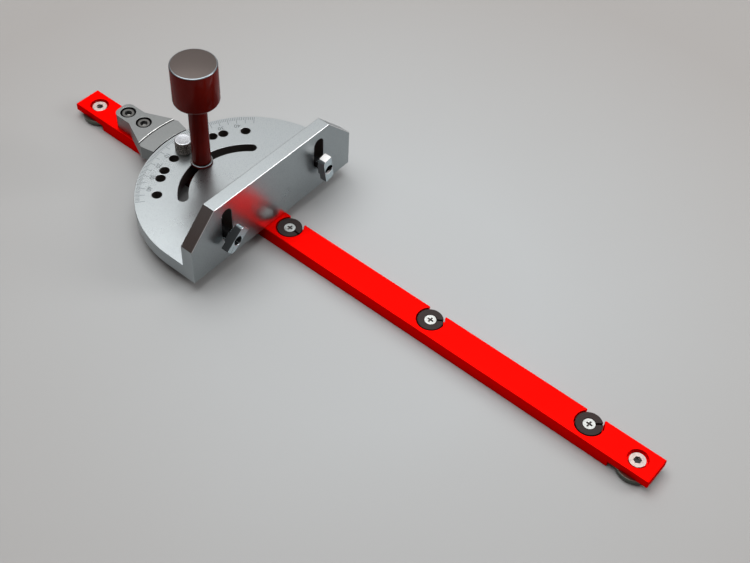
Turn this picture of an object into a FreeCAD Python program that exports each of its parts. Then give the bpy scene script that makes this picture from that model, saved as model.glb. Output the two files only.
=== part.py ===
import FreeCAD, Part
import math
import os
import Sketcher

# Miter gauge: a bar that slides in a table slot, with a protractor head that turns on it.
# Frame: the pivot axis meets the bar's top face at the origin, +X runs along the bar ahead of the
# fence and +Z is up. Millimetres and degrees.

os.makedirs("parts", exist_ok=True)
Vector = FreeCAD.Vector
doc = FreeCAD.newDocument("miter_gauge")

# Driving sizes
DRIVING_SIZES = {
    # Clearances
    "slide_gap": 0.2,  # between flat faces of pieces that move on each other
    "turn_gap": 0.05,  # radial, around a shaft that turns or slides
    "seat_gap": 0.03,  # radial, around a fixed screw or a pressed pin
    "clear_hole_space": 0.25,  # radial, around a screw in a clearance hole
    "cut_spare": 1.0,  # how far a cutting outline runs past the material
    # Bar
    "bar_front": 300.0,  # pivot axis to the bar's front end
    "bar_tail": 35.0,  # pointer block to the bar's rear end
    "bar_width": 19.0,
    "bar_thickness": 9.5,
    "bar_edge": 0.35,
    "lip_thickness": 5.2,  # what is left of the bar above a slot washer
    # Slot washers under the bar's ends and their low-head screws
    "slot_washer_diameter": 23.0,
    "slot_washer_thickness": 3.0,
    "slot_washer_space": 1.0,  # washer's edge to the ends of its notch
    "low_head_diameter": 9.7,
    "low_head_height": 2.0,
    "low_head_socket": 4.0,
    "low_head_socket_depth": 1.5,
    "low_head_sink": 1.2,  # bar top down to the head's top
    "low_head_space": 1.2,  # radial, around the head in its counterbore
    "low_head_shank": 6.0,
    # Expansion discs that take up the play in the slot
    "disc_first": 33.6,  # pivot axis to the rear disc
    "disc_last": 45.0,  # front disc to the bar's front end
    "disc_proud": 0.15,  # a disc's edge beyond the bar's side
    "disc_diameter": 15.5,
    "disc_thickness": 5.4,
    "disc_sink": 0.3,
    "disc_space": 0.85,  # radial, around a disc in its pocket
    "mouth_width": 12.0,
    "slit_width": 1.1,
    "slit_turn_front": 37.0,
    "slit_turn_middle": 34.0,
    "slit_turn_rear": -5.0,
    "disc_screw_head": 7.2,
    "disc_screw_core": 4.0,
    "disc_screw_sink": 0.35,
    "disc_screw_end": 1.0,  # the screw's tip up from the bar's underside
    "cross_width": 1.1,
    "cross_length": 4.2,
    "cross_depth": 0.9,
    # Protractor head: half-round plate and fence in one piece
    "plate_radius": 70.0,
    "plate_thickness": 9.5,
    "fence_reach": 23.0,  # pivot axis to the fence's face
    "fence_thickness": 9.0,
    "fence_height": 46.0,
    "fence_corner": 20.0,
    # Arc slot for the clamp stud
    "arc_inset": 30.0,  # rim to the slot's middle line
    "arc_space": 0.3,  # radial, around the stud in the slot
    "arc_reach": 50.0,  # degrees each way
    # Index holes and the pin
    "index_inset": 14.0,  # rim to the holes' circle
    "index_small": 10.0,
    "index_mitre": 22.5,
    "index_middle": 30.0,
    "index_large": 45.0,
    "index_pin_diameter": 6.4,
    "index_tip_gap": 0.3,  # the pin's tip above the bar's top
    "index_head_diameter": 11.2,
    "index_head_height": 9.3,
    # Fence slots, their bolts and T-nuts
    "slot_inset": 29.4,  # fence end to a slot's middle
    "slot_width": 8.5,
    "slot_margin": 6.2,  # fence top down to a slot's end
    "bolt_lift": 10.2,  # plate top to a bolt's axis near the slot's bottom
    "bolt_rest": 0.9,  # bolt's shank above the slot's bottom
    "bolt_diameter": 6.0,
    "bolt_grip": 3.4,  # bolt's length inside the nut
    "bolt_flats": 11.0,
    "bolt_head_height": 4.6,
    "nut_length": 18.0,
    "nut_width": 7.2,
    "nut_thickness": 5.2,
    "nut_corner": 3.0,
    "nut_neck_length": 9.0,
    "nut_neck_height": 1.1,
    "nut_stand": 2.2,  # fence face to the nut's neck
    "nut_turn_left": 9.0,
    "nut_turn_right": -51.0,
    # Pivot screw
    "pivot_diameter": 8.0,
    "pivot_head_diameter": 13.0,
    "pivot_head_height": 3.2,
    "pivot_socket": 4.0,
    "pivot_socket_depth": 2.2,
    "screw_end": 0.8,  # a fixed screw's tip up from the bar's underside
    # Clamp: stud in the bar, washer, post and knob
    "stud_diameter": 6.0,
    "stud_grip": 28.3,  # stud's length inside the post
    "clamp_washer_diameter": 14.3,
    "clamp_washer_thickness": 1.6,
    "post_diameter": 12.0,
    "post_visible": 48.7,  # washer to knob
    "post_bore_spare": 4.0,
    "knob_diameter": 29.2,
    "knob_height": 28.3,
    "knob_cap": 12.0,  # solid top over the post's seat
    "knob_bevel": 2.2,
    # Pointer block behind the rim, with its two cap screws
    "rim_gap": 0.4,
    "block_rise": 1.3,  # block's top above the plate's top
    "block_step": 0.8,
    "block_step_reach": 12.6,  # rim to the step's arc
    "block_end_reach": 10.3,  # rim to the outer corners
    "block_half_angle": 12.0,
    "block_neck_root": 29.6,  # rim to where the neck starts
    "block_length": 45.0,  # rim to the neck's end
    "block_neck_width": 14.2,
    "block_nose": 5.0,
    "block_overlap": 7.0,  # how far the block's blank runs inside the rim
    "block_screw_inset": 7.2,  # neck's end to the rear screw
    "block_screw_pitch": 14.7,
    "block_screw_diameter": 5.0,
    "block_screw_head": 8.5,
    "block_screw_head_height": 5.0,
    "block_screw_socket": 4.0,
    "block_screw_socket_depth": 2.5,
    "block_screw_sink": 0.6,
    "block_screw_space": 0.95,  # radial, around a head in its counterbore
}

sheet = doc.addObject("Spreadsheet::Sheet", "Sizes")
for row, (alias, amount) in enumerate(DRIVING_SIZES.items(), start=1):
    sheet.set("A%d" % row, alias)
    sheet.set("B%d" % row, "%g" % amount)
    sheet.setAlias("B%d" % row, alias)
doc.recompute()


# A size: its expression on the sheet, and its number for a sketch's first drawing
class Size:
    def __init__(self, text, number):
        self.text = text
        self.number = number

    def joined(self, sign, other, number):
        return Size("(%s %s %s)" % (self.text, sign, other.text), number)

    def __add__(self, other):
        other = as_size(other)
        return self.joined("+", other, self.number + other.number)

    def __sub__(self, other):
        other = as_size(other)
        return self.joined("-", other, self.number - other.number)

    def __mul__(self, other):
        other = as_size(other)
        return self.joined("*", other, self.number * other.number)

    def __truediv__(self, other):
        other = as_size(other)
        return self.joined("/", other, self.number / other.number)

    def __neg__(self):
        return Size("(-%s)" % self.text, -self.number)


def as_size(amount):
    if isinstance(amount, Size):
        return amount
    return Size("%g" % amount if amount >= 0 else "(%g)" % amount, float(amount))


def size(alias):
    return Size("Sizes.%s" % alias, DRIVING_SIZES[alias])


def cosine(angle):
    angle = as_size(angle)
    return Size("cos(%s)" % angle.text, math.cos(math.radians(angle.number)))


def sine(angle):
    angle = as_size(angle)
    return Size("sin(%s)" % angle.text, math.sin(math.radians(angle.number)))


# A point at a radius and an angle, measured from the rear of the bar towards +Y
def rear_polar(radius, angle):
    return -(radius * cosine(angle)), radius * sine(angle)


ZERO = as_size(0)
UPRIGHT = (Vector(0, 0, 1), ZERO)
ALONG_BAR = (Vector(0, 1, 0), as_size(90))


# A body with its own label and a placement bound to the sheet
def new_body(label, x=ZERO, y=ZERO, z=ZERO, turn=UPRIGHT):
    body = doc.addObject("PartDesign::Body", label)
    body.Label = label
    axis, angle = turn
    body.Placement = FreeCAD.Placement(Vector(0, 0, 0), FreeCAD.Rotation(axis, angle.number or 1.0))
    for path, amount in (("Base.x", x), ("Base.y", y), ("Base.z", z), ("Rotation.Angle", angle)):
        body.setExpression("Placement." + path, as_size(amount).text)
    return body


def new_sketch(body, name, plane="XY_Plane", offset=ZERO):
    sketch = body.newObject("Sketcher::SketchObject", name)
    origin_plane = [item for item in body.Origin.OriginFeatures if item.Role == plane][0]
    sketch.AttachmentSupport = [(origin_plane, "")]
    sketch.MapMode = "FlatFace"
    sketch.AttachmentOffset = FreeCAD.Placement(Vector(0, 0, as_size(offset).number), FreeCAD.Rotation())
    sketch.setExpression("AttachmentOffset.Base.z", as_size(offset).text)
    return sketch


def constrain(sketch, kind, *where, amount):
    index = sketch.addConstraint(Sketcher.Constraint(kind, *where, amount.number))
    sketch.setExpression("Constraints[%d]" % index, amount.text)


# Ties one point of a sketch to its distances from the sketch's origin
def fix_point(sketch, curve, end, x, y):
    for kind, amount, axis in (("DistanceX", x, -2), ("DistanceY", y, -1)):
        if amount is ZERO:
            sketch.addConstraint(Sketcher.Constraint("PointOnObject", curve, end, axis))
        else:
            constrain(sketch, kind, -1, 1, curve, end, amount=amount)


def draw_circle(sketch, x, y, radius):
    middle = Vector(x.number, y.number, 0)
    curve = sketch.addGeometry(Part.Circle(middle, Vector(0, 0, 1), radius.number), False)
    fix_point(sketch, curve, 3, x, y)
    constrain(sketch, "Radius", curve, amount=radius)


# The arc from one point to another that turns left about its middle
def left_arc(start, end, radius):
    chord = end - start
    rise = math.sqrt(max(radius ** 2 - (chord.Length / 2) ** 2, 0.0))
    middle = (start + end) / 2 + Vector(-chord.y, chord.x, 0).normalize() * rise
    first, last = (math.atan2(point.y - middle.y, point.x - middle.x) for point in (start, end))
    return Part.ArcOfCircle(Part.Circle(middle, Vector(0, 0, 1), radius), first, last)


# A closed outline through its corners. A corner (x, y) is reached along a straight line, and a
# corner (x, y, radius, side) along an arc of under half a turn, to the "left" or the "right".
def draw_outline(sketch, corners):
    base = sketch.GeometryCount
    ends = []
    for number, corner in enumerate(corners):
        before = corners[number - 1]
        start = Vector(before[0].number, before[1].number, 0)
        end = Vector(corner[0].number, corner[1].number, 0)
        if len(corner) == 2:
            sketch.addGeometry(Part.LineSegment(start, end), False)
            ends.append((1, 2))
        elif corner[3] == "left":
            sketch.addGeometry(left_arc(start, end, corner[2].number), False)
            ends.append((1, 2))
        else:
            sketch.addGeometry(left_arc(end, start, corner[2].number), False)
            ends.append((2, 1))
    for number, corner in enumerate(corners):
        following = (number + 1) % len(corners)
        sketch.addConstraint(Sketcher.Constraint(
            "Coincident", base + number, ends[number][1], base + following, ends[following][0]))
        fix_point(sketch, base + number, ends[number][1], corner[0], corner[1])
        if len(corner) == 4:
            constrain(sketch, "Radius", base + number, amount=corner[2])


def draw_rectangle(sketch, left, right, low, high):
    draw_outline(sketch, [(right, low), (right, high), (left, high), (left, low)])


# A regular hexagon by its distance across flats, about the sketch's origin
def draw_hexagon(sketch, across_flats):
    radius = across_flats / 2 / cosine(30)
    draw_outline(sketch, [(radius * cosine(turn), radius * sine(turn)) for turn in range(30, 390, 60)])


def add_feature(body, kind, name, sketch):
    feature = body.newObject("PartDesign::" + kind, name)
    feature.Profile = sketch
    sketch.Visibility = False
    return feature


def pad(body, sketch, name, length, backwards=False):
    feature = add_feature(body, "Pad", name, sketch)
    feature.setExpression("Length", length.text)
    feature.Reversed = backwards
    doc.recompute()
    return feature


# A pocket has to take material away, so the volumes before and after are compared
def pocket(body, sketch, name, depth=None, backwards=False):
    before = body.Shape.Volume
    feature = add_feature(body, "Pocket", name, sketch)
    if depth is None:
        feature.Type = "ThroughAll"
        feature.Midplane = True
    else:
        feature.setExpression("Length", depth.text)
        feature.Reversed = backwards
    doc.recompute()
    if feature.Shape.Volume > before - 1e-3:
        raise RuntimeError("%s in %s cuts nothing" % (name, body.Label))
    return feature


# Turns a profile of (radius, height) corners about the body's Z axis
def revolve(body, corners, name="turned_profile"):
    sketch = new_sketch(body, name + "_sketch", "XZ_Plane")
    draw_outline(sketch, corners)
    feature = add_feature(body, "Revolution", name, sketch)
    feature.ReferenceAxis = (sketch, ["V_Axis"])
    feature.Angle = 360.0
    doc.recompute()
    return feature


# Bevels the edges of a body's last feature that the test picks
def chamfer(body, name, width, wanted):
    base = body.Tip
    names = ["Edge%d" % (number + 1) for number, edge in enumerate(base.Shape.Edges) if wanted(edge)]
    feature = body.newObject("PartDesign::Chamfer", name)
    feature.Base = (base, names)
    feature.setExpression("Size", width.text)
    doc.recompute()


def near(first, second):
    return abs(first - second) < 1e-4


# Heights, places and bores that several pieces share
rim = size("plate_radius")
head_floor = size("slide_gap")
plate_top = head_floor + size("plate_thickness")
fence_back = size("fence_reach") - size("fence_thickness")
arc_radius = rim - size("arc_inset")
index_radius = rim - size("index_inset")
block_rear = -(rim + size("block_length"))
bar_front = size("bar_front")
bar_rear = block_rear - size("bar_tail")
half_bar = size("bar_width") / 2
notch_roof = size("lip_thickness")
notch_length = size("slot_washer_diameter") + size("slot_washer_space") * 2
low_head_floor = size("low_head_sink") + size("low_head_height")
screw_tip = size("screw_end") - size("bar_thickness")
seat_gap = size("seat_gap")
turn_gap = size("turn_gap")
index_bore = size("index_pin_diameter") / 2 + turn_gap
washer_floor = plate_top + size("slide_gap")
post_floor = washer_floor + size("clamp_washer_thickness") + size("slide_gap")
knob_hold = size("knob_height") - size("knob_cap")
block_top = plate_top + size("block_rise")
bolt_seat = fence_back - size("slide_gap")
nut_back = size("fence_reach") + size("nut_stand")
bolt_height = plate_top + size("bolt_lift")
bolt_side = rim - size("slot_inset")
bolt_sides = {"left": bolt_side, "right": -bolt_side}
disc_offset = half_bar + size("disc_proud") - size("disc_diameter") / 2
disc_floor = size("disc_sink") + size("disc_thickness")
disc_first = size("disc_first")
disc_last = bar_front - size("disc_last")
disc_places = {"rear": disc_first, "middle": (disc_first + disc_last) / 2, "front": disc_last}
slot_washer_places = {
    "front": bar_front - notch_length / 2,
    "rear": bar_rear + notch_length / 2,
}
pointer_screw_places = {
    "rear": block_rear + size("block_screw_inset"),
    "front": block_rear + size("block_screw_inset") + size("block_screw_pitch"),
}


# Bar: thinned ends, three open pockets and the screw holes
def make_bar():
    body = new_body("miter_bar")
    outline = new_sketch(body, "bar_outline")
    draw_rectangle(outline, bar_rear, bar_front, -half_bar, half_bar)
    pad(body, outline, "bar_stock", size("bar_thickness"), backwards=True)

    def outer_edge(edge):
        box = edge.BoundBox
        level = near(box.ZMin, box.ZMax)
        on_side = near(box.YMin, box.YMax) and near(abs(box.YMin), half_bar.number)
        on_end = near(box.XMin, box.XMax) and near(box.ZMin, 0)
        return level and (on_side or on_end)

    chamfer(body, "bar_edges", size("bar_edge"), outer_edge)

    spare = size("cut_spare")
    notches = new_sketch(body, "end_notches", offset=-size("bar_thickness"))
    for left, right in ((bar_rear - spare, bar_rear + notch_length),
                        (bar_front - notch_length, bar_front + spare)):
        draw_rectangle(notches, left, right, -(half_bar + spare), half_bar + spare)
    notch_depth = size("bar_thickness") - notch_roof
    pocket(body, notches, "thinned_ends", notch_depth, backwards=True)

    pockets = new_sketch(body, "disc_pocket_circles")
    mouths = new_sketch(body, "disc_pocket_mouths")
    half_mouth = size("mouth_width") / 2
    for place in disc_places.values():
        draw_circle(pockets, place, disc_offset, size("disc_diameter") / 2 + size("disc_space"))
        draw_rectangle(mouths, place - half_mouth, place + half_mouth, disc_offset, half_bar + spare)
    pocket(body, pockets, "disc_pockets", disc_floor)
    pocket(body, mouths, "disc_mouths", disc_floor)

    counterbores = new_sketch(body, "washer_screw_counterbores")
    holes = new_sketch(body, "screw_holes")
    for place in slot_washer_places.values():
        draw_circle(counterbores, place, ZERO, size("low_head_diameter") / 2 + size("low_head_space"))
        draw_circle(holes, place, ZERO, size("low_head_shank") / 2 + size("clear_hole_space"))
    for place in disc_places.values():
        draw_circle(holes, place, disc_offset, size("disc_screw_core") / 2 + turn_gap)
    for place in pointer_screw_places.values():
        draw_circle(holes, place, ZERO, size("block_screw_diameter") / 2 + seat_gap)
    draw_circle(holes, ZERO, ZERO, size("pivot_diameter") / 2 + seat_gap)
    draw_circle(holes, -arc_radius, ZERO, size("stud_diameter") / 2 + seat_gap)
    draw_circle(holes, -index_radius, ZERO, index_bore)
    pocket(body, counterbores, "washer_screw_seats", low_head_floor)
    pocket(body, holes, "through_holes")


# Flat ring, its underside at the body's origin
def make_ring(body, outer_diameter, bore_radius, thickness):
    ring = new_sketch(body, "ring_circles")
    draw_circle(ring, ZERO, ZERO, outer_diameter / 2)
    draw_circle(ring, ZERO, ZERO, bore_radius)
    pad(body, ring, "ring", thickness)


# Steel washer that runs in the wider foot of a T-shaped slot
def make_slot_washer(end):
    thickness = size("slot_washer_thickness")
    body = new_body("t_slot_washer_" + end, x=slot_washer_places[end], z=-(notch_roof + thickness))
    make_ring(body, size("slot_washer_diameter"), size("low_head_shank") / 2 + seat_gap, thickness)


# Hexagon socket sunk into a screw's head
def sink_socket(body, top, across_flats, depth, backwards=False):
    socket = new_sketch(body, "socket_hexagon", offset=top)
    draw_hexagon(socket, across_flats)
    pocket(body, socket, "socket", depth, backwards)


# Low-head socket screw through the bar's end into the washer
def make_slot_washer_screw(end):
    body = new_body("t_slot_screw_" + end, x=slot_washer_places[end], z=-low_head_floor)
    shank = size("low_head_shank") / 2
    head = size("low_head_diameter") / 2
    top = size("low_head_height")
    reach = notch_roof + size("slot_washer_thickness") - low_head_floor
    revolve(body, [(ZERO, -reach), (shank, -reach), (shank, ZERO), (head, ZERO), (head, top), (ZERO, top)])
    sink_socket(body, top, size("low_head_socket"), size("low_head_socket_depth"))


# Split disc with a countersink: its screw spreads it against the slot's wall
def make_expansion_disc(end):
    body = new_body("expansion_disc_" + end, x=disc_places[end], y=disc_offset, z=-disc_floor,
                    turn=(Vector(0, 0, 1), size("slit_turn_" + end)))
    outer = size("disc_diameter") / 2
    top = size("disc_thickness")
    bore = size("disc_screw_core") / 2 + size("clear_hole_space")
    sunk = size("disc_screw_head") / 2 + size("disc_screw_sink") + turn_gap * 2
    revolve(body, [(bore, ZERO), (outer, ZERO), (outer, top), (sunk, top), (bore, top - (sunk - bore))])
    slit = new_sketch(body, "slit_outline", offset=top)
    half_slit = size("slit_width") / 2
    draw_rectangle(slit, ZERO, outer + size("cut_spare"), -half_slit, half_slit)
    pocket(body, slit, "slit")


# Countersunk cross-head screw of an expansion disc, its origin at the head's top
def make_disc_screw(end):
    sink = size("disc_sink") + size("disc_screw_sink")
    body = new_body("disc_screw_" + end, x=disc_places[end], y=disc_offset, z=-sink)
    head = size("disc_screw_head") / 2
    core = size("disc_screw_core") / 2
    reach = size("bar_thickness") - size("disc_screw_end") - sink
    revolve(body, [(ZERO, -reach), (core, -reach), (core, core - head), (head, ZERO), (ZERO, ZERO)])
    cross = new_sketch(body, "cross_outline")
    arm = size("cross_length") / 2
    rib = size("cross_width") / 2
    corners = []
    for turn in (0, 90, 180, 270):
        for along, across in ((arm, -rib), (arm, rib), (rib, rib)):
            x = along * cosine(turn) - across * sine(turn)
            y = along * sine(turn) + across * cosine(turn)
            corners.append((x, y))
    draw_outline(cross, corners)
    pocket(body, cross, "cross", size("cross_depth"))


# Protractor head: half-round plate, upright fence, arc slot, index holes and bolt slots
def make_protractor_head():
    body = new_body("protractor_head", z=head_floor)
    plate = new_sketch(body, "plate_outline")
    draw_outline(plate, [(size("fence_reach"), -rim), (size("fence_reach"), rim), (ZERO, rim),
                         (-rim, ZERO, rim, "left"), (ZERO, -rim, rim, "left")])
    pad(body, plate, "plate", size("plate_thickness"))

    height = size("fence_height")
    corner = size("fence_corner")
    fence = new_sketch(body, "fence_outline", "YZ_Plane", offset=fence_back)
    draw_outline(fence, [(rim, ZERO), (rim, height - corner), (rim - corner, height),
                         (corner - rim, height), (-rim, height - corner), (-rim, ZERO)])
    pad(body, fence, "fence", size("fence_thickness"))

    # Arc slot about the pivot, with round ends
    arc = arc_radius
    half = size("stud_diameter") / 2 + size("arc_space")
    reach = size("arc_reach")
    slot = new_sketch(body, "arc_slot_outline")
    tip_x = half * sine(reach) - arc * cosine(reach)
    tip_y = arc * sine(reach) + half * cosine(reach)
    draw_outline(slot, [
        rear_polar(arc + half, reach) + (half, "left"),
        rear_polar(arc + half, -reach) + (arc + half, "left"),
        (tip_x, -tip_y, half, "left"),
        rear_polar(arc - half, -reach) + (half, "left"),
        rear_polar(arc - half, reach) + (arc - half, "right"),
        (tip_x, tip_y, half, "left"),
    ])
    pocket(body, slot, "arc_slot")

    # Index holes, one row at each side of the hole that the pin stands in
    holes = new_sketch(body, "index_hole_circles")
    stops = [size("index_" + name) for name in ("small", "mitre", "middle", "large")]
    for angle in [ZERO] + stops + [-stop for stop in stops]:
        x, y = rear_polar(index_radius, angle)
        draw_circle(holes, x, ZERO if angle is ZERO else y, index_bore)
    pocket(body, holes, "index_holes")
    pivot = new_sketch(body, "pivot_bore_circle")
    draw_circle(pivot, ZERO, ZERO, size("pivot_diameter") / 2 + turn_gap)
    pocket(body, pivot, "pivot_bore")

    # Upright slots that the T-nut bolts slide in
    slots = new_sketch(body, "bolt_slot_outlines", "YZ_Plane", offset=fence_back)
    radius = size("slot_width") / 2
    low = bolt_height - size("bolt_diameter") / 2 - size("bolt_rest") - head_floor
    high = height - size("slot_margin")
    for middle in bolt_sides.values():
        draw_outline(slots, [
            (middle + radius, low + radius, radius, "left"),
            (middle + radius, high - radius),
            (middle, high, radius, "left"),
            (middle - radius, high - radius, radius, "left"),
            (middle - radius, low + radius),
            (middle, low, radius, "left"),
        ])
    pocket(body, slots, "bolt_slots", size("fence_thickness") + size("cut_spare"), backwards=True)


# Plain-shanked screw that the head turns on, its origin at the bar's top
def make_pivot_screw():
    body = new_body("pivot_screw")
    shank = size("pivot_diameter") / 2
    head = size("pivot_head_diameter") / 2
    seat = washer_floor
    top = seat + size("pivot_head_height")
    revolve(body, [(ZERO, screw_tip), (shank, screw_tip), (shank, seat), (head, seat), (head, top),
                   (ZERO, top)])
    sink_socket(body, top, size("pivot_socket"), size("pivot_socket_depth"))


# Clamp: a stud fixed in the bar passes through the arc slot, and the handle screws down on it
def make_clamp_stud():
    body = new_body("clamp_stud", x=-arc_radius)
    radius = size("stud_diameter") / 2
    top = post_floor + size("stud_grip")
    revolve(body, [(ZERO, screw_tip), (radius, screw_tip), (radius, top), (ZERO, top)])


def make_clamp_washer():
    body = new_body("clamp_washer", x=-arc_radius, z=washer_floor)
    make_ring(body, size("clamp_washer_diameter"), size("stud_diameter") / 2 + turn_gap,
              size("clamp_washer_thickness"))


def make_clamp_post():
    body = new_body("clamp_post", x=-arc_radius, z=post_floor)
    radius = size("post_diameter") / 2
    bore = size("stud_diameter") / 2 + turn_gap
    top = size("post_visible") + knob_hold
    bore_top = size("stud_grip") + size("post_bore_spare")
    revolve(body, [(bore, ZERO), (radius, ZERO), (radius, top), (ZERO, top), (ZERO, bore_top),
                   (bore, bore_top)])


def make_clamp_knob():
    body = new_body("clamp_knob", x=-arc_radius, z=post_floor + size("post_visible"))
    radius = size("knob_diameter") / 2
    bore = size("post_diameter") / 2 + seat_gap
    top = size("knob_height")
    bevel = size("knob_bevel")
    roof = knob_hold + seat_gap
    revolve(body, [(bore, ZERO), (radius - bevel, ZERO), (radius, bevel), (radius, top), (ZERO, top),
                   (ZERO, roof), (bore, roof)])


# Index pin: turned from one bar, with a thick head to lift it by
def make_index_pin():
    body = new_body("index_pin", x=-index_radius, z=size("index_tip_gap"))
    shank = size("index_pin_diameter") / 2
    head = size("index_head_diameter") / 2
    seat = washer_floor - size("index_tip_gap")
    top = seat + size("index_head_height")
    revolve(body, [(ZERO, ZERO), (shank, ZERO), (shank, seat), (head, seat), (head, top), (ZERO, top)])


# Hexagon bolts through the fence, each with a T-nut ahead of it
def make_fence_bolt(side):
    body = new_body("fence_bolt_" + side, x=bolt_seat, y=bolt_sides[side], z=bolt_height, turn=ALONG_BAR)
    head = new_sketch(body, "head_hexagon")
    draw_hexagon(head, size("bolt_flats"))
    pad(body, head, "hexagon_head", size("bolt_head_height"), backwards=True)
    shank = new_sketch(body, "shank_circle")
    draw_circle(shank, ZERO, ZERO, size("bolt_diameter") / 2)
    pad(body, shank, "shank", nut_back - bolt_seat + size("bolt_grip"))


# T-nut: a long head with two round corners on a short neck that faces the fence
def make_t_nut(side):
    body = new_body("t_nut_" + side, x=nut_back, y=bolt_sides[side], z=bolt_height,
                    turn=(Vector(1, 0, 0), size("nut_turn_" + side)))
    half_width = size("nut_width") / 2
    curve = size("nut_corner")
    for name, plane_offset, half_length, depth in (
        ("neck", ZERO, size("nut_neck_length") / 2, size("nut_neck_height")),
        ("head", size("nut_neck_height"), size("nut_length") / 2, size("nut_thickness")),
    ):
        outline = new_sketch(body, name + "_outline", "YZ_Plane", offset=plane_offset)
        draw_outline(outline, [
            (half_width, half_length),
            (curve - half_width, half_length),
            (-half_width, half_length - curve, curve, "left"),
            (-half_width, -half_length),
            (half_width - curve, -half_length),
            (half_width, curve - half_length, curve, "left"),
        ])
        pad(body, outline, name, depth)
    hole = new_sketch(body, "bolt_circle", "YZ_Plane")
    draw_circle(hole, ZERO, ZERO, size("bolt_diameter") / 2 + turn_gap)
    pocket(body, hole, "bolt_hole")


# Pointer block: stands on the bar and hugs the rim with a lower arc-shaped ledge
def make_pointer_block():
    body = new_body("pointer_block")
    half_neck = size("block_neck_width") / 2
    neck_root = -(rim + size("block_neck_root"))
    nose = size("block_nose")
    end = block_rear
    angle = size("block_half_angle")
    corner_x, corner_y = rear_polar(rim + size("block_end_reach"), angle)
    inner_x, inner_y = rear_polar(rim - size("block_overlap"), angle)
    outline = new_sketch(body, "block_outline")
    draw_outline(outline, [
        (inner_x, inner_y),
        (corner_x, corner_y),
        (neck_root, half_neck),
        (end + nose, half_neck),
        (end, half_neck - nose, nose, "left"),
        (end, nose - half_neck),
        (end + nose, -half_neck, nose, "left"),
        (neck_root, -half_neck),
        (corner_x, -corner_y),
        (inner_x, -inner_y),
    ])
    pad(body, outline, "block", block_top)
    ledge = new_sketch(body, "ledge_circle", offset=block_top)
    draw_circle(ledge, ZERO, ZERO, rim + size("block_step_reach"))
    pocket(body, ledge, "ledge", size("block_step"))
    clearance = new_sketch(body, "rim_circle")
    draw_circle(clearance, ZERO, ZERO, rim + size("rim_gap"))
    pocket(body, clearance, "rim_clearance")
    counterbores = new_sketch(body, "counterbore_circles", offset=block_top)
    holes = new_sketch(body, "screw_hole_circles")
    for place in pointer_screw_places.values():
        draw_circle(counterbores, place, ZERO, size("block_screw_head") / 2 + size("block_screw_space"))
        draw_circle(holes, place, ZERO, size("block_screw_diameter") / 2 + size("clear_hole_space"))
    pocket(body, counterbores, "counterbores", size("block_screw_sink") + size("block_screw_head_height"))
    pocket(body, holes, "screw_holes")


def make_pointer_screw(end):
    seat = block_top - size("block_screw_sink") - size("block_screw_head_height")
    body = new_body("pointer_screw_" + end, x=pointer_screw_places[end], z=seat)
    shank = size("block_screw_diameter") / 2
    head = size("block_screw_head") / 2
    top = size("block_screw_head_height")
    tip = screw_tip - seat
    revolve(body, [(ZERO, tip), (shank, tip), (shank, ZERO), (head, ZERO), (head, top), (ZERO, top)])
    sink_socket(body, top, size("block_screw_socket"), size("block_screw_socket_depth"))


make_bar()
for end in ("front", "rear"):
    make_slot_washer(end)
    make_slot_washer_screw(end)
    make_pointer_screw(end)
for end in ("front", "middle", "rear"):
    make_expansion_disc(end)
    make_disc_screw(end)
make_protractor_head()
make_pivot_screw()
make_clamp_stud()
make_clamp_washer()
make_clamp_post()
make_clamp_knob()
make_index_pin()
for side in ("left", "right"):
    make_fence_bolt(side)
    make_t_nut(side)
make_pointer_block()

# Identical pieces of the bar share one node, each still a solid of its own
for name in ("t_slot_washer", "t_slot_screw", "expansion_disc"):
    group = doc.addObject("Part::Compound", name + "s")
    group.Label = name + "s"
    group.Links = [item for item in doc.Objects if item.Label.startswith(name + "_")]

# Every object has to have recomputed, and every body has to be one valid solid
doc.recompute()
for item in doc.Objects:
    if "Invalid" in item.State or "Error" in item.State:
        raise RuntimeError("%s did not recompute: %s" % (item.Label, item.State))
bodies = [item for item in doc.Objects if item.TypeId == "PartDesign::Body"]
for body in bodies:
    if body.Shape.isNull() or not body.Shape.isValid() or len(body.Shape.Solids) != 1:
        raise RuntimeError("%s has no valid single solid" % body.Label)
groups = [item for item in doc.Objects if item.TypeId == "Part::Compound"]
grouped = [body for group in groups for body in group.Links]
written = groups + [body for body in bodies if body not in grouped]
for item in written:
    item.Shape.exportStep("parts/%s.step" % item.Label)
print("%d nodes written, %d solids" % (len(written), len(bodies)))
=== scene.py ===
import math

import bmesh
import bpy
from mathutils import Matrix, Vector


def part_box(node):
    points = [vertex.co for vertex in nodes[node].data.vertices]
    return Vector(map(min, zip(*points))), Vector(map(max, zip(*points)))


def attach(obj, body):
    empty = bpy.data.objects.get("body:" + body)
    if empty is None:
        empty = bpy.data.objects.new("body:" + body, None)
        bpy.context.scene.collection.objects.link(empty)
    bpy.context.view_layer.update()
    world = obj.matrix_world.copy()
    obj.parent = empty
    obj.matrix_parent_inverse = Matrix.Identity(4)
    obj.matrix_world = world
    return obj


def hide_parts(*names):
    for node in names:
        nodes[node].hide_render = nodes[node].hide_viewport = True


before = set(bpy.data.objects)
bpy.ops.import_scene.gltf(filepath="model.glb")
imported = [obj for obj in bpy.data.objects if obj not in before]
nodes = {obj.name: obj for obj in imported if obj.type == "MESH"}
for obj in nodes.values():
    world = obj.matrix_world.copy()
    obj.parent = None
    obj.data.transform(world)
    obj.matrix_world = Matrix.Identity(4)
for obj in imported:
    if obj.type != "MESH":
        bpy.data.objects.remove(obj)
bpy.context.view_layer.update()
mm = 0.001
merged = 0.001 * mm  # vertices nearer than this become one
sharpAngle = math.radians(28.0)  # edges with a larger turn are shown sharp and softened a little


# sRGB text to the linear colour that a shader takes
def colour(text):
    parts = [int(text[at:at + 2], 16) / 255 for at in (1, 3, 5)]
    return [part / 12.92 if part <= 0.04045 else ((part + 0.055) / 1.055) ** 2.4 for part in parts] + [1.0]


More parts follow.
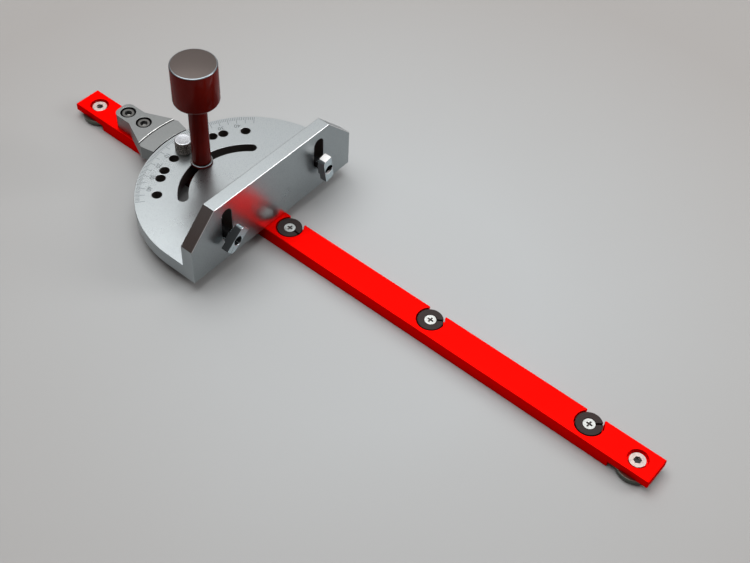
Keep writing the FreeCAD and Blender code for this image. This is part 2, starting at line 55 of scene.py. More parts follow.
# One socket of a node tree: arithmetic on it adds Math nodes
class Wire:
    def __init__(self, tree, socket=None):
        self.tree = tree
        self.socket = socket

    # Adds a node: its settings first, then a value or a link for each input
    def node(self, kind, settings=None, inputs=None, output=0):
        made = self.tree.nodes.new("ShaderNode" + kind)
        for name, value in (settings or {}).items():
            if name == "stops":
                self.fillRamp(made.color_ramp, value)
            else:
                setattr(made, name, value)
        for name, value in (inputs or {}).items():
            if isinstance(value, Wire):
                self.tree.links.new(value.socket, made.inputs[name])
            else:
                made.inputs[name].default_value = value
        return Wire(self.tree, made.outputs[output] if made.outputs else None)

    def fillRamp(self, ramp, stops):
        while len(ramp.elements) < len(stops):
            ramp.elements.new(1.0)
        for element, (place, shade) in zip(ramp.elements, stops):
            element.position = place
            element.color = shade

    def maths(self, operation, first, second=0.0):
        return self.node("Math", {"operation": operation}, {0: first, 1: second})

    def __add__(self, other):
        return self.maths("ADD", self, other)

    def __radd__(self, other):
        return self.maths("ADD", other, self)

    def __sub__(self, other):
        return self.maths("SUBTRACT", self, other)

    def __rsub__(self, other):
        return self.maths("SUBTRACT", other, self)

    def __mul__(self, other):
        return self.maths("MULTIPLY", self, other)

    def __rmul__(self, other):
        return self.maths("MULTIPLY", other, self)

    def sine(self):
        return self.maths("SINE", self)

    def least(self, other):
        return self.maths("MINIMUM", self, other)

    def most(self, other):
        return self.maths("MAXIMUM", self, other)

    # 1 where the value passes the test, and 0 elsewhere
    def over(self, low):
        return self.maths("GREATER_THAN", self, low)

    def under(self, high):
        return self.maths("LESS_THAN", self, high)

    def within(self, low, high):
        return self.over(low) * self.under(high)

    def between(self, low, high, fromLow=0.0, fromHigh=1.0):
        return self.node("MapRange", {"clamp": True}, {
            "Value": self, "From Min": fromLow, "From Max": fromHigh, "To Min": low, "To Max": high})

    def blendTo(self, factor, other):
        settings = {"data_type": "RGBA", "clamp_factor": True}
        return self.node("Mix", settings, {0: factor, 6: self, 7: other}, 2)

    def moved(self, centre=(0, 0, 0), scale=(1, 1, 1)):
        return self.node("Mapping", {"vector_type": "TEXTURE"}, {
            "Vector": self, "Location": centre, "Scale": scale})

    def noise(self, scale, detail):
        return self.node("TexNoise", {}, {"Vector": self, "Scale": scale, "Detail": detail})

    def parts(self):
        split = self.node("SeparateXYZ", {}, {0: self})
        return [Wire(self.tree, socket) for socket in split.socket.node.outputs]

    # Distance from the Z axis, angle about it and height along it
    def fromAxis(self):
        across, along, height = self.parts()
        radius = self.maths("SQRT", across * across + along * along)
        return radius, self.maths("ARCTAN2", along, across), height

    # From a Texture Coordinate node: the three parts of the direction that the surface faces
    def normal(self):
        return Wire(self.tree, self.socket.node.outputs["Normal"]).parts()

    # 1 on a flat top, 0 on an upright wall
    def upward(self):
        return self.normal()[2]

    def bump(self, depth):
        return self.node("Bump", {}, {"Height": self, "Distance": depth})

    def tint(self, shade):
        return self.node("Mix", {"data_type": "RGBA"}, {0: 0.0, 6: shade, 7: shade}, 2)


# A material: sockets that stay the same all over, and a function that gives those that vary
def makeFinish(name, fixed, varied):
    material = bpy.data.materials.new(name)
    material.use_nodes = True
    tree = material.node_tree
    tree.nodes.clear()
    place = Wire(tree).node("TexCoord", output=3)
    shader = place.node("BsdfPrincipled", inputs={**fixed, **varied(place)})
    shader.node("OutputMaterial", inputs={"Surface": shader})
    return material


# Grained finish: a cloudy tone, faint drawing lines along X and a fine grain.
# Where the painted-shade mask gives 1, inside holes and slots, the finish takes a dark painted shade and
# turns dull.
# A look with an edge has a painted highlight in its shade on faces that slope, such as cut edges and round
# tops, and a darker painted shade on cut edges that face the rear.
def grainedFinish(name, look, walls=None):
    def varied(place):
        cloud = place.noise(25.0, 3.0)
        lines = place.moved(scale=(0.09, 0.0005, 0.0005)).noise(1.0, 2.0)
        grain = place.noise(look["grainScale"], 1.0)
        wear = cloud.between(0.0, 0.4, 0.45, 0.75)
        base = place.tint(colour(look["shade"])).blendTo(wear, colour(look["worn"]))
        base = base.blendTo(grain.between(0.0, look["speckle"], 0.5, 0.75), colour(look["speck"]))
        dull = None
        if "edge" in look:
            edge = look["edge"]
            forward, _, upward = place.normal()
            sloped = upward.between(0.0, 1.0, 0.3, 0.5)
            sloped = sloped * upward.between(1.0, 0.0, edge["top"] - 0.1, edge["top"])
            # Painted highlight on sloped faces that look forward and painted shade on those that look to the
            # rear
            bright = sloped * forward.over(edge["forward"])
            rearShade = sloped * forward.under(-abs(edge["forward"]))
            base = base.blendTo(bright, colour(edge["shade"])).blendTo(rearShade, colour(edge["rear"]))
            dull = (bright * edge["matt"]).most(rearShade)
        # Painted shade where the mask gives 1
        if walls:
            inPaintedShade = walls(place)
            base = base.blendTo(inPaintedShade, colour(look["wall"]))
            dull = inPaintedShade if dull is None else inPaintedShade.most(dull)
        rough = look["roughness"]
        sockets = {
            "Base Color": base,
            "Roughness": cloud.between(rough - 0.03, rough + 0.04, 0.3, 0.7) + grain.between(-0.03, 0.03),
            "Normal": (lines * look["lines"] + grain * look["grain"]).bump(0.00001),
        }
        if dull is not None:
            sockets["Metallic"] = dull.between(look["metallic"], 0.0)
        return sockets
    return makeFinish(name, {"Metallic": look["metallic"], **look.get("fixed", {})}, varied)


# Painted shade on upright walls well inside the head: index holes, arc slot and the fence's two bolt slots
headSizes = {
    "plateTop": 9.7, "rim": 70.0, "fenceBack": 14.0, "fenceFront": 23.0, "slotReach": 46.0, "slotFoot": 15.5,
    "slotTop": 40.5, "bright": 0.4, "rimCover": 1.5, "fenceCover": 1.0, "outlineFoot": 26.0,
}


def headWalls(place):
    sizes = {key: value * mm for key, value in headSizes.items()}
    across, along, height = place.parts()
    upright = (place.upward() * place.upward()).between(1.0, 0.0, 0.1, 0.3)
    inPlate = place.fromAxis()[0].under(sizes["rim"] - sizes["bright"])
    inPlate = inPlate * across.under(sizes["fenceFront"] - sizes["bright"])
    inPlate = inPlate * height.under(sizes["plateTop"] - sizes["bright"])
    inFence = across.within(sizes["fenceBack"], sizes["fenceFront"] - sizes["bright"])
    inFence = inFence * along.within(-sizes["slotReach"], sizes["slotReach"])
    inFence = inFence * height.within(sizes["slotFoot"], sizes["slotTop"])
    return upright * inPlate.most(inFence)


# Painted shade on the bar's top where the head always covers it
def underHead(place):
    covered = place.fromAxis()[0].under((headSizes["rim"] - headSizes["rimCover"]) * mm)
    return covered * place.parts()[0].under((headSizes["fenceBack"] - headSizes["fenceCover"]) * mm)


# Painted shade on the block's upright walls in its counterbores, along its step and at the rim,
# and a painted shadow line at the step's foot
blockSizes = {
    "screws": (-107.8, -93.1), "bore": 5.6, "step": 82.6, "rim": 70.4, "stepRoom": 0.35,
    "foot": 0.5, "footDepth": 1.0, "top": 11.0, "bright": 0.22,
}


def blockWalls(place):
    upright = (place.upward() * place.upward()).between(1.0, 0.0, 0.1, 0.3)
    radius = place.fromAxis()[0]
    height = place.parts()[2]
    sizes = {key: value * mm for key, value in blockSizes.items() if key != "screws"}
    room = sizes["stepRoom"]
    walls = radius.within(sizes["step"] - room, sizes["step"] + room)
    walls = walls.most(radius.within(sizes["rim"] - room, sizes["rim"] + room))
    for x in blockSizes["screws"]:
        fromScrew = place.moved(centre=(x * mm, 0, 0)).fromAxis()[0]
        walls = walls.most(fromScrew.under(sizes["bore"]))
    foot = radius.within(sizes["step"] - sizes["foot"], sizes["step"])
    foot = foot * height.within(sizes["top"] - sizes["footDepth"], sizes["top"] - sizes["bright"])
    return (upright * walls * height.within(0.0, sizes["top"] - sizes["bright"])).most(foot)


# Painted shade on a nut's faces that look to the -Y side
def nutFlanks(place):
    forward, leftward, _ = place.normal()
    return forward.within(-0.5, 0.5) * leftward.between(1.0, 0.0, -0.4, -0.2)


# Painted shade on those of them that stand steeply
def steepFlanks(place):
    return nutFlanks(place) * place.upward().under(0.8)


# Each look's dark colour for the masked places is a painted shade, and an edge's shade and rear are a
# painted highlight and a painted shade
finishes = {
    "redAnodised": {
        "shade": "#E40A06", "worn": "#D80804", "speck": "#F00E08", "speckle": 0.15, "metallic": 1.0,
        "roughness": 0.42, "lines": 0.5, "grain": 0.5, "grainScale": 2600.0, "wall": "#2A0402",
        "fixed": {"Specular Tint": colour("#FF2010")},
    },
    "silverAnodised": {
        "shade": "#9EA4A6", "worn": "#93999C", "speck": "#7D8386", "speckle": 0.45, "metallic": 1.0,
        "roughness": 0.3, "lines": 0.1, "grain": 0.9, "grainScale": 2200.0, "wall": "#3A3532",
        "edge": {"shade": "#F0F2F4", "rear": "#383432", "forward": 0.3, "top": 0.97, "matt": 0.3},
    },
    "blockAnodised": {
        "shade": "#7C7F7F", "worn": "#727575", "speck": "#626565", "speckle": 0.4, "metallic": 1.0,
        "roughness": 0.34, "lines": 0.2, "grain": 0.9, "grainScale": 2200.0, "wall": "#141312",
        "edge": {"shade": "#F4F6F6", "rear": "#383432", "forward": 0.3, "top": 0.97, "matt": 0.3},
    },
    "blackOxide": {
        "shade": "#0D0D0F", "worn": "#151517", "speck": "#242427", "speckle": 0.3, "metallic": 0.5,
        "roughness": 0.36, "lines": 0.1, "grain": 0.9, "grainScale": 3000.0,
    },
    "boltBlack": {
        "shade": "#0A0A0B", "worn": "#0E0E0F", "speck": "#151516", "speckle": 0.3, "metallic": 0.0,
        "roughness": 0.6, "lines": 0.1, "grain": 0.9, "grainScale": 3000.0,
        "fixed": {"Specular IOR Level": 0.1},
    },
    "zinc": {
        "shade": "#C2CED3", "worn": "#AEBAC0", "speck": "#8E989E", "speckle": 0.3, "metallic": 1.0,
        "roughness": 0.2, "lines": 0.3, "grain": 1.0, "grainScale": 1500.0, "wall": "#34383A",
    },
    "groundSteel": {
        "shade": "#5C6159", "worn": "#4E524B", "speck": "#3A3D37", "speckle": 0.4, "metallic": 0.95,
        "roughness": 0.30, "lines": 0.5, "grain": 0.8, "grainScale": 2600.0,
    },
    "engravedGrey": {
        "shade": "#50575A", "worn": "#5C6366", "speck": "#42484B", "speckle": 0.3, "metallic": 0.0,
        "roughness": 0.6, "lines": 0.0, "grain": 0.5, "grainScale": 3000.0,
    },
}
# Painted glare for one nut: a white painted highlight wherever a face slopes upwards
glare = {"shade": "#FFFFFF", "rear": "#FFFFFF", "forward": -2.0, "top": 1.2, "matt": 1.0}
finishes["zincPaintedGlare"] = {**finishes["zinc"], "wall": "#5E686C", "edge": glare}
wallsOf = {
    "redAnodised": underHead, "silverAnodised": headWalls, "blockAnodised": blockWalls,
    "zinc": nutFlanks, "zincPaintedGlare": steepFlanks,
}
materials = {name: grainedFinish(name, look, wallsOf.get(name)) for name, look in finishes.items()}

# Black cap screws with a lighter grey ring round the socket and a painted highlight on the socket floor
capLook = {"shade": "#0C0C0D", "ring": "#5C5C5A", "ringInner": 2.4, "ringOuter": 3.5, "level": 10.2,
           "ringFade": 0.2, "ringOuterFade": 0.5, "floor": "#D8D8D4", "floorRadius": 1.5, "floorLowest": 5.0,
           "floorLevel": 8.3}


def capFinish(place):
    radii = [place.moved(centre=(x * mm, 0, 0)).fromAxis()[0] for x in blockSizes["screws"]]
    radius = radii[0].least(radii[1])
    height = place.parts()[2]
    inner, fade = capLook["ringInner"] * mm, capLook["ringFade"] * mm
    # The ring fades out beyond its outer radius over the given width
    outer, wear = capLook["ringOuter"] * mm, capLook["ringOuterFade"] * mm
    onRing = radius.between(0.0, 1.0, inner - fade, inner + fade)
    onRing = onRing * radius.between(1.0, 0.0, outer, outer + wear)
    onRing = onRing * height.over(capLook["level"] * mm)
    # Painted highlight on the socket floor
    onSocketGlint = radius.under(capLook["floorRadius"] * mm)
    onSocketGlint = onSocketGlint * height.within(capLook["floorLowest"] * mm, capLook["floorLevel"] * mm)
    cloud = place.noise(600.0, 3.0)
    base = place.tint(colour(capLook["shade"])).blendTo(onRing, colour(capLook["ring"]))
    return {
        "Base Color": base.blendTo(onSocketGlint, colour(capLook["floor"])),
        "Metallic": onRing.between(0.3, 0.9),
        "Roughness": cloud.between(0.28, 0.42, 0.3, 0.7),
        "Normal": cloud.bump(0.00001),
    }


materials["capScrew"] = makeFinish("capScrew", {}, capFinish)

# Clamp handle: a maroon lacquer on the sides, its red partly a painted reflection of the red bar; faces that
# look up get a lighter metallic grey, a painted sheen from the light above; and a painted highlight on the
# rounded top edge
handleLook = {"side": "#66120B", "sideWorn": "#560F09", "top": "#57504D", "topWorn": "#4C4643",
           "edge": "#8E989E", "x": -40.0, "knurlRadius": 14.2, "knurlFade": 0.3, "knurlPitch": 1.1,
           "roughness": 0.24}


def handleFinish(place):
    radius, angle, height = place.moved(centre=(handleLook["x"] * mm, 0, 0)).fromAxis()
    teeth = round(math.tau * handleLook["knurlRadius"] / handleLook["knurlPitch"])
    rise = height * (math.tau / (handleLook["knurlPitch"] * mm))
    around = angle * teeth
    diamonds = (around + rise).sine().most((around - rise).sine())
    outer = handleLook["knurlRadius"] * mm
    knurl = diamonds * radius.between(0.0, 1.0, outer, outer + handleLook["knurlFade"] * mm)
    # Faces that look up: a lighter metallic grey, a painted sheen
    facesUp = place.upward().between(0.0, 1.0, 0.15, 0.45)
    # Painted highlight on the rounded top edge
    edge = place.upward().between(0.0, 1.0, 0.35, 0.6) * place.upward().between(1.0, 0.0, 0.975, 0.995)
    cloud = place.noise(60.0, 3.0)
    grain = place.noise(2400.0, 1.0)
    rough = handleLook["roughness"]
    sideWear = cloud.between(0.0, 0.8, 0.45, 0.7)
    side = place.tint(colour(handleLook["side"])).blendTo(sideWear, colour(handleLook["sideWorn"]))
    topWear = grain.between(0.0, 0.6, 0.45, 0.7)
    top = place.tint(colour(handleLook["top"])).blendTo(topWear, colour(handleLook["topWorn"]))
    return {
        "Base Color": side.blendTo(facesUp, top).blendTo(edge, colour(handleLook["edge"])),
        "Metallic": facesUp,
        "Roughness": cloud.between(rough - 0.02, rough + 0.05, 0.3, 0.7) + facesUp * 0.1,
        "Coat Weight": facesUp.between(0.55, 0.2),
        "Normal": (knurl * 0.5 + grain * 0.1).bump(0.00003),
    }


materials["handleLacquer"] = makeFinish("handleLacquer", {
    "Specular IOR Level": 0.0, "Coat IOR": 1.25, "Coat Roughness": 0.12}, handleFinish)

# Matt nylon with fine turned rings about each disc's middle
discLook = {"shade": "#2E2625", "ring": "#3C3332", "pitch": 0.9, "roughness": 0.55}
discMiddles = [(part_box("disc_screw_" + end)[0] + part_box("disc_screw_" + end)[1]) / 2
               for end in ("rear", "middle", "front")]


def discFinish(place):
    radii = [place.moved(centre=middle).fromAxis()[0] for middle in discMiddles]
    radius = radii[0].least(radii[1]).least(radii[2])
    rings = (radius * (math.tau / (discLook["pitch"] * mm))).sine()
    grain = place.noise(1800.0, 2.0)
    base = place.tint(colour(discLook["shade"])).blendTo(rings.between(0.0, 0.45), colour(discLook["ring"]))
    return {
        "Base Color": base,
        "Roughness": grain.between(discLook["roughness"] - 0.08, discLook["roughness"] + 0.08, 0.3, 0.7),
        "Normal": (rings * 0.6 + grain).bump(0.00002),
    }


materials["discNylon"] = makeFinish("discNylon", {"Metallic": 0.0, "Specular IOR Level": 0.15}, discFinish)

# Turned steel: bright rings about the screw's own axis, and painted shade in the recess for the driver
screwLook = {"shade": "#BCBEBC", "worn": "#8C8D8B", "recess": "#161413", "pitch": 0.25, "roughness": 0.34}


def turnedFinish(name, centres, recess, look):
    def varied(place):
        radii = [place.moved(centre=centre).fromAxis()[0] for centre in centres]
        radius = radii[0]
        for other in radii[1:]:
            radius = radius.least(other)
        rings = (radius * (math.tau / (look["pitch"] * mm))).sine()
        cloud = place.noise(500.0, 3.0)
        wear = cloud.between(0.0, 0.6, 0.45, 0.75)
        base = place.tint(colour(look["shade"])).blendTo(wear, colour(look["worn"]))
        # Painted shade in the driver's recess
        recessShade = radius.under(recess["radius"] * mm) * place.parts()[2].under(recess["level"] * mm)
        return {
            "Base Color": base.blendTo(recessShade, colour(look["recess"])),
            "Metallic": recessShade.between(0.95, 0.2),
            "Roughness": cloud.between(look["roughness"] - 0.05, look["roughness"] + 0.1, 0.3, 0.7),
            "Normal": (rings * 0.5 + cloud).bump(0.000006),
        }
    return makeFinish(name, {}, varied)


discScrewLook = {**screwLook, "recess": "#4A4644"}
discRecess = {"radius": 2.3, "level": -0.75}
materials["discScrewSteel"] = turnedFinish("discScrewSteel", discMiddles, discRecess, discScrewLook)
endScrews = {"front": 287.5, "rear": -137.5}  # along the bar
endMiddles = [Vector((x * mm, 0, 0)) for x in endScrews.values()]
# The end screws' warm tint is a painted reflection of the red bar
endLook = {**screwLook, "shade": "#BEB0AA", "worn": "#90827C"}
endRecess = {"radius": 2.0, "level": -1.35}
materials["endScrewSteel"] = turnedFinish("endScrewSteel", endMiddles, endRecess, endLook)
print("finishes ready: %d" % len(materials))


# Links a finished mesh, with its smooth shading, finish, body and the nodes it stands for
def finishPiece(shape, name, body, material, replaced=()):
    for face in shape.faces:
        face.smooth = True
    for edge in shape.edges:
        edge.smooth = edge.calc_face_angle(0.0) < sharpAngle
    mesh = bpy.data.meshes.new(name)
    shape.to_mesh(mesh)
    shape.free()
    mesh.materials.append(material)
    piece = bpy.data.objects.new(name, mesh)
    bpy.context.collection.objects.link(piece)
    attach(piece, body)
    if replaced:
        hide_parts(*replaced)
    return piece


# A merged copy of a CAD node's mesh, its flat faces made whole
def copyOf(node):
    shape = bmesh.new()
    shape.from_mesh(nodes[node].data)
    bmesh.ops.remove_doubles(shape, verts=shape.verts, dist=merged)
    bmesh.ops.dissolve_limit(shape, angle_limit=math.radians(0.5), verts=shape.verts, edges=shape.edges)
    return shape


# Rounds every sharp edge of a piece a little, as a deburred metal part has them
def softEdges(piece, width):
    bevel = piece.modifiers.new("softEdges", "BEVEL")
    bevel.width = width * mm
    bevel.segments = 2
    bevel.limit_method = "ANGLE"
    bevel.angle_limit = sharpAngle
    bevel.harden_normals = True
    bevel.use_clamp_overlap = False


# Bevels the sharp edges whose ends both pass the test, except those that run along X
def chamferEdges(shape, width, wanted):
    edges = []
    for edge in shape.edges:
        along = abs((edge.verts[0].co - edge.verts[1].co).normalized().x)
        if edge.calc_face_angle(0.0) > sharpAngle and along < 0.99:
            if all(wanted(vert.co / mm) for vert in edge.verts):
                edges.append(edge)
    bmesh.ops.bevel(shape, geom=edges, offset=width * mm, offset_type="OFFSET", segments=1, profile=0.5,
                    affect="EDGES", material=-1)


# The outline of the fence's front and back, except its foot and lower corners
def onFenceOutline(point):
    inSlot = abs(point.y) < headSizes["slotReach"] and point.z < headSizes["slotTop"]
    onFace = min(abs(point.x - headSizes["fenceFront"]), abs(point.x - headSizes["fenceBack"])) < 0.01
    return onFace and point.z > headSizes["outlineFoot"] and not inSlot


# The block's step
def onBlockStep(point):
    return abs(point.xy.length - blockSizes["step"]) < 0.05 and abs(point.z - blockSizes["top"]) < 0.01


chamfers = {"protractor_head": (0.3, onFenceOutline), "pointer_block": (0.24, onBlockStep)}
softCopies = {
    "miter_bar": ("bar", "red_anodised", "redAnodised", 0.25),
    "protractor_head": ("head", "silver_anodised", "silverAnodised", 0.2),
    "pointer_block": ("bar", "silver_anodised", "blockAnodised", 0.12),
    "t_nut_left": ("nut_left", "zinc_nuts", "zincPaintedGlare", 0.3),
    "t_nut_right": ("nut_right", "zinc_nuts", "zinc", 0.3),
    "fence_bolt_left": ("bolt_left", "black_screws", "boltBlack", 0.3),
    "fence_bolt_right": ("bolt_right", "black_screws", "boltBlack", 0.3),
    "pivot_screw": ("bar", "black_screws", "blackOxide", 0.3),
    "pointer_screw_front": ("bar", "black_screws", "capScrew", 0.35),
    "pointer_screw_rear": ("bar", "black_screws", "capScrew", 0.35),
    "t_slot_washers": ("bar", "bright_steel", "groundSteel", 0.3),
    "t_slot_screws": ("bar", "bright_steel", "endScrewSteel", 0.25),
    "expansion_discs": ("bar", "disc_plastic", "discNylon", 0.25),
    "clamp_stud": ("bar", "bright_steel", "groundSteel", 0.2),
}
for node, (body, slot, material, edge) in softCopies.items():
    shape = copyOf(node)
    if node in chamfers:
        chamferEdges(shape, *chamfers[node])
    piece = finishPiece(shape, node + "_finished", body, materials[material], [node])
    softEdges(piece, edge)
print("soft-edged pieces ready: %d" % len(softCopies))

# Cross-head screws of the discs: the recess narrows towards its floor
crossSizes = {"edge": 0.12, "floorScale": 0.45, "recessDepth": 0.9}
for end in ("front", "middle", "rear"):
    node = "disc_screw_" + end
    shape = copyOf(node)
    low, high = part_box(node)
    middle = (low + high) / 2
    floorLevel = high.z - crossSizes["recessDepth"] * mm
    recess = [vert for vert in shape.verts if abs(vert.co.z - floorLevel) < 0.05 * mm]
    bmesh.ops.scale(shape, verts=recess, vec=(crossSizes["floorScale"], crossSizes["floorScale"], 1),
                    space=Matrix.Translation((-middle.x, -middle.y, 0)))
    piece = finishPiece(shape, node + "_finished", node, materials["discScrewSteel"], [node])
    softEdges(piece, crossSizes["edge"])
print("cross-head screws ready")


# A profile of (radius, height) corners spun about an upright axis; a third number rounds its corner
def spunShape(corners, closed=False, steps=128, roundSteps=5):
    shape = bmesh.new()
    points = [shape.verts.new((corner[0] * mm, 0, corner[1] * mm)) for corner in corners]
    ends = points[1:] + points[:1] if closed else points[1:]
    lines = [shape.edges.new(pair) for pair in zip(points, ends)]
    bmesh.ops.spin(shape, geom=points + lines, cent=(0, 0, 0), axis=(0, 0, 1), angle=math.tau, steps=steps,
                   use_merge=True)
    bmesh.ops.remove_doubles(shape, verts=shape.verts, dist=merged)
    bmesh.ops.recalc_face_normals(shape, faces=shape.faces)
    for corner in corners:
        if len(corner) == 3:
            radius, height, rounding = (value * mm for value in corner)
            ring = [edge for edge in shape.edges if all(
                abs(vert.co.xy.length - radius) < 0.01 * mm and abs(vert.co.z - height) < 0.01 * mm
                for vert in edge.verts)]
            bmesh.ops.bevel(shape, geom=ring, offset=rounding, offset_type="OFFSET", segments=roundSteps,
                            profile=0.5, affect="EDGES", material=-1)
    return shape


# Clamp handle: knob, post and the washer that it presses on
clampSizes = {
    "x": -40.0, "knobRadius": 14.6, "knobFoot": 60.4, "knobTop": 88.7, "footRound": 2.6, "topRound": 0.9,
    "postRadius": 6.0, "postFoot": 11.7, "postTop": 76.7, "boreRadius": 3.05, "boreTop": 44.0,
    "washerRadius": 7.15, "washerFoot": 9.9, "washerTop": 11.5, "mouth": 0.35, "space": 0.03,
}


def makeClamp():
    sizes = clampSizes
    inner = sizes["postRadius"] + sizes["space"]
    knob = spunShape([
        (0, sizes["knobTop"]), (sizes["knobRadius"], sizes["knobTop"], sizes["topRound"]),
        (sizes["knobRadius"], sizes["knobFoot"], sizes["footRound"]),
        (sizes["postRadius"] + sizes["mouth"], sizes["knobFoot"]),
        (inner, sizes["knobFoot"] + sizes["mouth"]),
        (inner, sizes["postTop"] + sizes["space"]), (0, sizes["postTop"] + sizes["space"]),
    ])
    post = spunShape([
        (0, sizes["postTop"]), (sizes["postRadius"], sizes["postTop"]),
        (sizes["postRadius"], sizes["postFoot"], 0.4), (sizes["boreRadius"], sizes["postFoot"]),
        (sizes["boreRadius"], sizes["boreTop"]), (0, sizes["boreTop"]),
    ])
    washer = spunShape([
        (sizes["boreRadius"], sizes["washerTop"], 0.2), (sizes["washerRadius"], sizes["washerTop"], 0.5),
        (sizes["washerRadius"], sizes["washerFoot"], 0.25), (sizes["boreRadius"], sizes["washerFoot"], 0.2),
    ], closed=True)
    for shape, name, body in ((knob, "clamp_knob", "clamp_handle"), (post, "clamp_post", "clamp_handle"),
                              (washer, "clamp_washer", "clamp_collar")):
        bmesh.ops.translate(shape, verts=shape.verts, vec=(sizes["x"] * mm, 0, 0))
        finishPiece(shape, name + "_finished", body, materials["handleLacquer"], [name])


makeClamp()
print("clamp handle ready")

# Index pin: knurled side with its grooves painted dark and its ridges painted light, a painted shade and
# highlight that follow the knurl; dished and polished top
pinSizes = {
    "x": -56.0, "shankRadius": 3.2, "tip": 0.3, "seat": 9.9, "headRadius": 5.6, "top": 19.2, "topEdge": 0.7,
    "dish": 0.35, "dishEdge": 0.1, "dishInset": 1.3, "footEdge": 0.6, "tipEdge": 0.4, "knurlPitch": 1.2,
    "sideStart": 0.3, "sideFull": 0.15,
}
pinLook = {"groove": "#241F1D", "ridge": "#CCC2BA", "top": "#B2B5B9", "topWorn": "#7E8187"}


def pinFinish(place):
    radius, angle, height = place.moved(centre=(pinSizes["x"] * mm, 0, 0)).fromAxis()
    teeth = round(math.tau * pinSizes["headRadius"] / pinSizes["knurlPitch"])
    rise = height * (math.tau / (pinSizes["knurlPitch"] * mm))
    around = angle * teeth
    diamonds = (around + rise).sine().most((around - rise).sine())
    sideStart = (pinSizes["headRadius"] - pinSizes["sideStart"]) * mm
    onSide = radius.between(0.0, 1.0, sideStart, (pinSizes["headRadius"] - pinSizes["sideFull"]) * mm)
    cloud = place.noise(450.0, 3.0)
    speckle = place.noise(1100.0, 2.0).between(0.2, 1.0, 0.42, 0.58)
    # Painted shade in the knurl's grooves and painted highlight on its ridges, broken by a random speckle
    ridges = diamonds.between(0.0, 1.0, 0.0, 0.9) * speckle
    side = place.tint(colour(pinLook["groove"])).blendTo(ridges, colour(pinLook["ridge"]))
    wear = cloud.between(0.0, 0.6, 0.45, 0.7)
    top = place.tint(colour(pinLook["top"])).blendTo(wear, colour(pinLook["topWorn"]))
    return {
        "Base Color": top.blendTo(onSide, side),
        "Roughness": cloud.between(0.22, 0.32, 0.3, 0.7) + onSide * 0.2,
        "Normal": (diamonds * onSide + cloud * 0.03).bump(0.00012),
    }


def makePin():
    sizes = pinSizes
    shape = spunShape([
        (0, sizes["tip"]), (sizes["shankRadius"], sizes["tip"], sizes["tipEdge"]),
        (sizes["shankRadius"], sizes["seat"]), (sizes["headRadius"], sizes["seat"], sizes["footEdge"]),
        (sizes["headRadius"], sizes["top"], sizes["topEdge"]),
        (sizes["headRadius"] - sizes["dishInset"], sizes["top"] - sizes["dishEdge"]),
        (0, sizes["top"] - sizes["dish"]),
    ], roundSteps=3)
    bmesh.ops.translate(shape, verts=shape.verts, vec=(sizes["x"] * mm, 0, 0))
    material = makeFinish("knurledSteel", {"Metallic": 0.95}, pinFinish)
    finishPiece(shape, "index_pin_finished", "index_stop", material, ["index_pin"])


makePin()
print("index pin ready")

# Angle scale on the plate: a tick each degree, a longer one each fifth, and a figure each tenth
scaleSizes = {
    "top": 9.7, "height": 0.02, "outer": 69.3, "tick": 66.5, "longTick": 63.4, "longEach": 5, "reach": 50,
    "line": 0.3, "figure": 4.3, "figureRadius": 61.3, "figureEach": 10, "lastFigure": 40,
}


def makeScale():
    sizes = scaleSizes
    shape = bmesh.new()
    middleHeight = (sizes["top"] + sizes["height"] / 2) * mm
    for degrees in range(-sizes["reach"], sizes["reach"] + 1):
        inner = sizes["longTick"] if degrees % sizes["longEach"] == 0 else sizes["tick"]
        middle = (sizes["outer"] + inner) / 2
        place = Matrix.Rotation(math.radians(180 + degrees), 4, "Z")
        place = place @ Matrix.Translation((middle * mm, 0, middleHeight))
        length = (sizes["outer"] - inner) * mm
        place = place @ Matrix.Diagonal((length, sizes["line"] * mm, sizes["height"] * mm, 1))
        bmesh.ops.create_cube(shape, size=1.0, matrix=place)
    for degrees in range(-sizes["lastFigure"], sizes["lastFigure"] + 1, sizes["figureEach"]):
        words = bpy.data.curves.new("figure", "FONT")
        words.body = str(abs(degrees))
        words.size = sizes["figure"] * mm
        words.align_x = "CENTER"
        words.align_y = "CENTER"
        words.extrude = sizes["height"] * mm / 2
        holder = bpy.data.objects.new("figure", words)
        flat = bpy.data.meshes.new_from_object(holder)
        turn = math.radians(180 + degrees)
        radius = sizes["figureRadius"] * mm
        place = Matrix.Translation((radius * math.cos(turn), radius * math.sin(turn), middleHeight))
        flat.transform(place @ Matrix.Rotation(turn + math.pi / 2, 4, "Z"))
        shape.from_mesh(flat)
        bpy.data.objects.remove(holder)
        bpy.data.meshes.remove(flat)
    finishPiece(shape, "angle_scale", "head", materials["engravedGrey"])


makeScale()
print("angle scale ready")

# Floor: painted lighter near the middle and darker and warmer outwards, a painted pool of light, with a
# faint random tone
floorLook = {"level": -9.5, "size": 6.0, "shade": "#A9ACAD", "far": "#9A9896", "x": 0.1, "near": 0.1,
             "edge": 0.34}
shape = bmesh.new()
bmesh.ops.create_grid(shape, x_segments=1, y_segments=1, size=floorLook["size"] / 2,
                      matrix=Matrix.Translation((0, 0, floorLook["level"] * mm)))
floorMesh = bpy.data.meshes.new("floor")
shape.to_mesh(floorMesh)
shape.free()


def floorFinish(place):
    # Painted pool of light: the floor darkens and warms with distance from the middle
    radius = place.moved(centre=(floorLook["x"], 0, 0)).fromAxis()[0]
    cloud = place.noise(3.0, 2.0)
    base = place.tint(colour(floorLook["shade"])).blendTo(
        radius.between(0.0, 1.0, floorLook["near"], floorLook["edge"]), colour(floorLook["far"]))
    return {"Base Color": base.blendTo(cloud.between(0.0, 0.2, 0.4, 0.7), colour(floorLook["far"]))}


floorPaint = makeFinish("floorPaint", {"Roughness": 0.75, "Specular IOR Level": 0.2}, floorFinish)
floorMesh.materials.append(floorPaint)
floor = bpy.data.objects.new("floor", floorMesh)
bpy.context.collection.objects.link(floor)

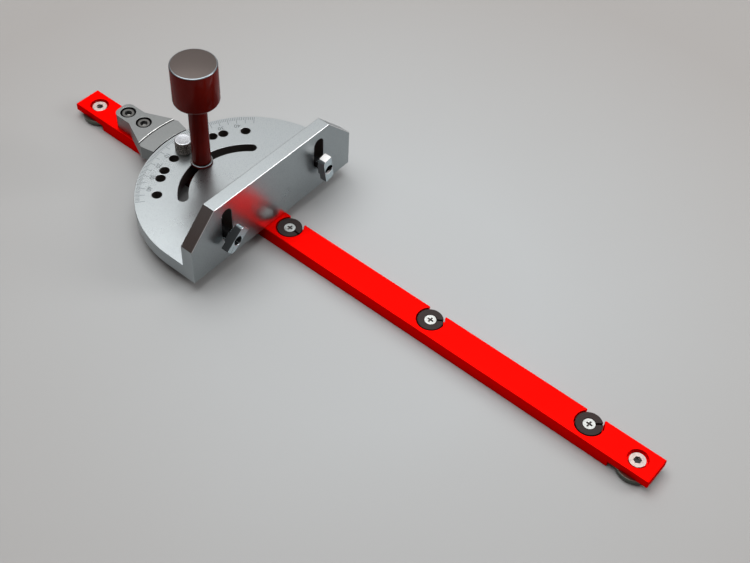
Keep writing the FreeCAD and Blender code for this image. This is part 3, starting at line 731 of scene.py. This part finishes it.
# Camera as the photograph was taken
cameraFacts = {
    "place": (391.23, -382.49, 554.14), "azimuth": 36.9497, "elevation": 48.9954, "roll": 3.6464,
    "focal": 1228.8545, "width": 750.0,
}
azimuth, elevation, roll = (math.radians(cameraFacts[key]) for key in ("azimuth", "elevation", "roll"))
back = Vector((math.sin(azimuth) * math.cos(elevation), -math.cos(azimuth) * math.cos(elevation),
               math.sin(elevation)))
right = Vector((math.cos(azimuth), math.sin(azimuth), 0))
up = back.cross(right)
axisX = right * math.cos(roll) + up * math.sin(roll)
axisY = up * math.cos(roll) - right * math.sin(roll)
lens = bpy.data.cameras.new("camera")
lens.sensor_width = 36.0
lens.lens = cameraFacts["focal"] / cameraFacts["width"] * lens.sensor_width
lens.clip_start = 0.01
lens.clip_end = 20.0
camera = bpy.data.objects.new("camera", lens)
camera.matrix_world = Matrix.Translation(Vector(cameraFacts["place"]) * mm) @ Matrix(
    (axisX, axisY, back)).transposed().to_4x4()
bpy.context.collection.objects.link(camera)
bpy.context.scene.camera = camera

# Soft studio light: a panel overhead, a wide dim one behind, a small one at the side,
# and a room that darkens downwards
lamps = {
    "overhead": {"place": (-0.27, 0.0, 1.5), "size": 1.4, "power": 19.0},
    "back": {"place": (-0.8, 1.0, 1.3), "size": 2.0, "power": 11.5},
    "side": {"place": (1.1, 0.8, 0.8), "size": 0.6, "power": 9.0},
}
for name, facts in lamps.items():
    light = bpy.data.lights.new(name, "AREA")
    light.shape = "SQUARE"
    light.size = facts["size"]
    light.energy = facts["power"]
    lamp = bpy.data.objects.new(name, light)
    lamp.location = facts["place"]
    lamp.rotation_euler = (-Vector(facts["place"])).to_track_quat("-Z", "Y").to_euler()
    bpy.context.collection.objects.link(lamp)
roomStops = [(0.0, colour("#2A2320")), (0.6, colour("#35231D")), (0.78, colour("#684438")),
             (0.87, colour("#94908C")), (0.91, colour("#F0F3F5")), (1.0, colour("#FFFFFF"))]
roomStrength = 0.8
world = bpy.data.worlds.new("room")
world.use_nodes = True
world.node_tree.nodes.clear()
sky = Wire(world.node_tree).node("TexCoord")
height = sky.parts()[2].between(0.0, 1.0, -1.0, 1.0)
shade = height.node("ValToRGB", {"stops": roomStops}, {0: height})
shade = shade.node("Background", {}, {"Color": shade, "Strength": roomStrength})
shade.node("OutputWorld", {}, {"Surface": shade})
bpy.context.scene.world = world
bpy.context.scene.view_settings.view_transform = "Standard"
print("camera and light ready")
